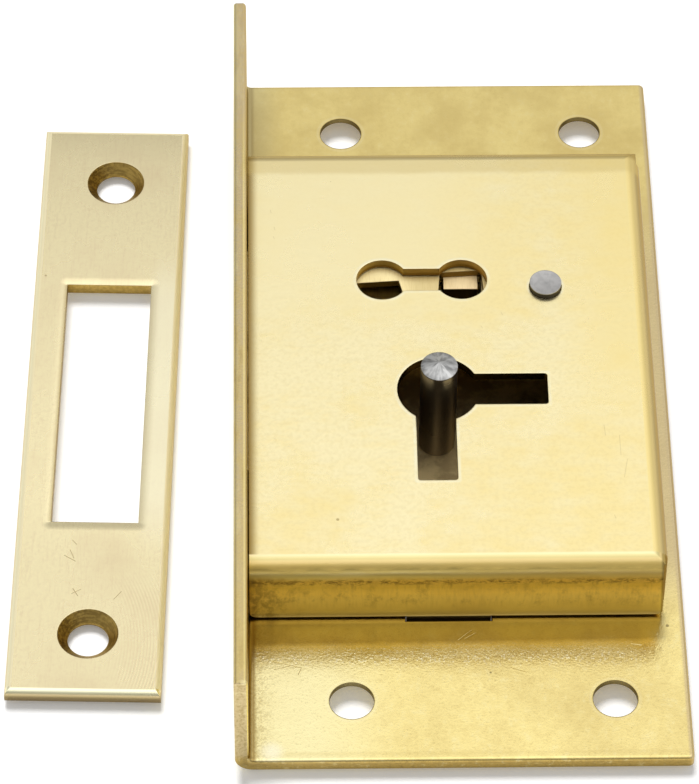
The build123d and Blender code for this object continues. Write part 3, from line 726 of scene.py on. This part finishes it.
def spring_steel():
    """Blued leaf: dark steel with faint rolling marks."""
    material, shop = new_material("spring steel")
    at = shop.millimetres()
    marks = shop.noise(shop.stretched(at, 0.8, 0.8, 9.0), 1.0, 2.0)
    tint = shop.blend(shop.between(marks, 0.45, 0.7) * 0.5, BLUED_STEEL, SHANK_STEEL)
    normal = shop.bump(marks, 0.12, 0.02, shop.soft_edge(0.05))
    shop.close_metal(tint, 0.28 + 0.1 * marks, normal)
    return material


def dress(material, *nodes):
    """Gives CAD nodes a finish."""
    for node in nodes:
        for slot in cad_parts[node].material_slots:
            slot.material = material


lever_brass = stamped_brass("lever brass", LEVER_BRASS, turn=0.3, stain=0.1, lean=0.0)
# The top lever, painted in shade, turns to the lit brass near the selvedge; its sides are painted
# shade
top_lever_brass = stamped_brass(
    "shaded top lever brass", SHADED_TOP_LEVER_BRASS, turn=0.3, stain=0.1, lean=0.14,
    side_top=LEVER_TOP - 0.05, side=TARNISH_AND_SHADE, left=LEVER_BRASS)
washer_brass = stamped_brass("washer brass", LEVER_BRASS, turn=0.0, stain=0.4, lean=0.0)
bolt_brass = stamped_brass("bolt brass", LEVER_BRASS, turn=0.0, stain=0.25, lean=0.0)
# The stump's sides are painted dark as shade
stump_brass = stamped_brass(
    "stump brass", STUMP_BRASS, turn=0.0, stain=0.05, lean=0.2, side_top=STUMP_TOP - 0.05)

dress(cap_brass(), "cap")
dress(plate_brass(), "main_plate")
dress(strike_brass(), "strike_plate")
dress(lever_brass, *[f"lever_{n}" for n in range(1, 4)])
dress(top_lever_brass, "lever_4")
dress(washer_brass, *[f"lever_washer_{n}" for n in range(1, 6)])
dress(bolt_brass, "bolt")
dress(stump_brass, "bolt_stump")
dress(pin_steel(), "drill_pin")
dress(rivet_steel(), "lever_pivot")


def leaf_spring(number, radius, drop_deg, finish):
    """A bent leaf, placed with its lever: a straight root in it, then a quarter turn to the end
    wall.

    Its middle line is at x = SPRING_X on the root and rises from y = SPRING_FOOT to LEVER_EDGE.
    On the turn, at angle a, it is (SPRING_X + radius (1 - cos a), LEVER_EDGE + radius sin a).
    The four corners of each section stand half a thickness inside and outside that line, on the
    leaf's low and high faces. All is then turned about the pivot.
    """
    angle = np.concatenate([np.zeros(ROOT_SECTIONS), np.linspace(0, np.pi / 2, TURN_SECTIONS)])
    root = np.linspace(SPRING_FOOT - LEVER_EDGE, 0, ROOT_SECTIONS, endpoint=False)
    rise = np.concatenate([root, np.zeros(TURN_SECTIONS)])
    ring = radius + SPRING_THICK / 2 * np.array([1, -1, -1, 1])
    low, high = (corner[2] * 1000 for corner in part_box(f"lever_spring_{number}"))
    drop = math.radians(drop_deg)

    def placed(reach, a, lift):
        """A point of the leaf at a reach from the turn's centre, turned about the pivot."""
        x = SPRING_X + radius - reach * np.cos(a) - PIVOT[0]
        y = LEVER_EDGE + reach * np.sin(a) + lift - PIVOT[1]
        turned_x = x * math.cos(drop) - y * math.sin(drop)
        turned_y = x * math.sin(drop) + y * math.cos(drop)
        return PIVOT[0] + turned_x, PIVOT[1] + turned_y

    x, y = placed(ring[None, :], angle[:, None], rise[:, None])
    z = np.broadcast_to([low, low, high, high], x.shape)
    points = np.stack([x, y, z], axis=-1).reshape(-1, 3) / 1000
    ends = [(0, 1, 2, 3), tuple(len(points) - n for n in range(1, 5))]
    first = np.arange(0, len(points) - 4, 4)[:, None]
    side = np.arange(4)[None, :]
    after = (side + 1) % 4
    walls = np.stack([first + side, first + 4 + side, first + 4 + after, first + after], axis=-1)
    mesh = bpy.data.meshes.new(f"leaf_{number}")
    mesh.from_pydata(points.tolist(), [], ends + walls.reshape(-1, 4).tolist())
    mesh.materials.append(finish)
    leaf = bpy.data.objects.new(f"leaf_{number}", mesh)
    bpy.context.scene.collection.objects.link(leaf)
    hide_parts(f"lever_spring_{number}")
    middle = (low + high) / 2
    still = math.radians(SPRING_STILL_DEG)
    start = [value / 1000 for value in (*placed(radius, 0.0, 0.0), middle)]
    end = [value / 1000 for value in (*placed(radius, still, 0.0), middle)]
    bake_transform(leaf)


blued = spring_steel()
for lever in range(1, 4):
    leaf_spring(lever, SPRING_RADIUS, 0.0, blued)
leaf_spring(4, TOP_SPRING_RADIUS, TOP_DROP_DEG, blued)


def flat_sheet(name, half, z):
    """A level square sheet, 2 x half on a side, at height z."""
    corners = np.array([(-half, -half, z), (half, -half, z), (half, half, z), (-half, half, z)])
    mesh = bpy.data.meshes.new(name)
    mesh.from_pydata(corners.tolist(), [], [(0, 1, 2, 3)])
    sheet = bpy.data.objects.new(name, mesh)
    bpy.context.scene.collection.objects.link(sheet)
    return sheet


def light_path(shop):
    """1 for a ray from the camera, a gloss or a clear body, and 1 for a ray from a gloss."""
    kinds = shop.node("ShaderNodeLightPath").socket.node.outputs
    names = ("Is Camera Ray", "Is Glossy Ray", "Is Transmission Ray")
    camera, glossy, clear = (Value(shop, kinds[name]) for name in names)
    return camera.most(glossy).most(clear), glossy


def studio():
    """A white floor that keeps the lock's shadow, and a soft lamp, in a white tent.

    The tent is dimmest half way up and behind the camera.
    """
    floor = flat_sheet("floor", FLOOR_HALF_M, FLOOR_HEIGHT_M)
    material, shop = new_material("floor paper")
    shown = light_path(shop)[0]
    paper = shop.node("ShaderNodeBsdfDiffuse", inputs={"Color": FLOOR_PAPER})
    lift = {"Color": WHITE, "Strength": shown * FLOOR_LIFT}
    lift = shop.node("ShaderNodeEmission", inputs=lift)
    both = shop.node("ShaderNodeAddShader", inputs={0: paper, 1: lift})
    shop.node("ShaderNodeOutputMaterial", inputs={"Surface": both})
    floor.data.materials.append(material)

    lamp = bpy.data.lights.new("soft lamp", "SUN")
    lamp.energy = LAMP_LEVEL
    lamp.angle = math.radians(LAMP_SPREAD_DEG)
    soft = bpy.data.objects.new("soft lamp", lamp)
    soft.rotation_euler = Vector(LAMP_FROM).to_track_quat("Z", "Y").to_euler()
    soft.visible_glossy = False
    bpy.context.scene.collection.objects.link(soft)

    world = bpy.data.worlds.new("tent")
    world.use_nodes = True
    bpy.context.scene.world = world
    shop = Shop(world.node_tree)
    shown, glossy = light_path(shop)
    x, y, z = shop.axes(shop.node("ShaderNodeTexCoord", out="Generated"))
    tent = TENT_LEVEL * shop.node("ShaderNodeValToRGB", {"stops": TENT}, {"Fac": z})
    tent = tent * (1 - TENT_DIM_BEHIND * shop.between(y, -0.1, -0.75))
    tent = tent * (1 + TENT_LIFT_RIGHT * shop.between(x, 0.1, 0.42))
    strength = glossy * tent + (shown - glossy) + (1 - shown) * ROOM_LEVEL
    light = shop.node("ShaderNodeBackground", inputs={"Color": WHITE, "Strength": strength})
    shop.node("ShaderNodeOutputWorld", inputs={"Surface": light})


def photographer():
    """The camera at the photograph's place, turned by the fitted right, up and back directions."""
    lens = bpy.data.cameras.new("camera")
    lens.sensor_width = SENSOR_MM
    lens.lens = FOCAL_PX / FRAME_HEIGHT_PX * SENSOR_MM
    lens.clip_start = 0.01
    camera = bpy.data.objects.new("camera", lens)
    right = np.array(EYE_RIGHT)
    up = -np.array(EYE_DOWN)
    back = np.cross(right, up)
    turn = np.eye(4)
    turn[:3, 0], turn[:3, 1], turn[:3, 2] = right, up, back
    turn[:3, 3] = np.array(EYE_MM) / 1000
    camera.matrix_world = Matrix(turn.tolist())
    bpy.context.scene.collection.objects.link(camera)
    bpy.context.scene.camera = camera


studio()
photographer()
bpy.context.scene.view_settings.view_transform = "Standard"
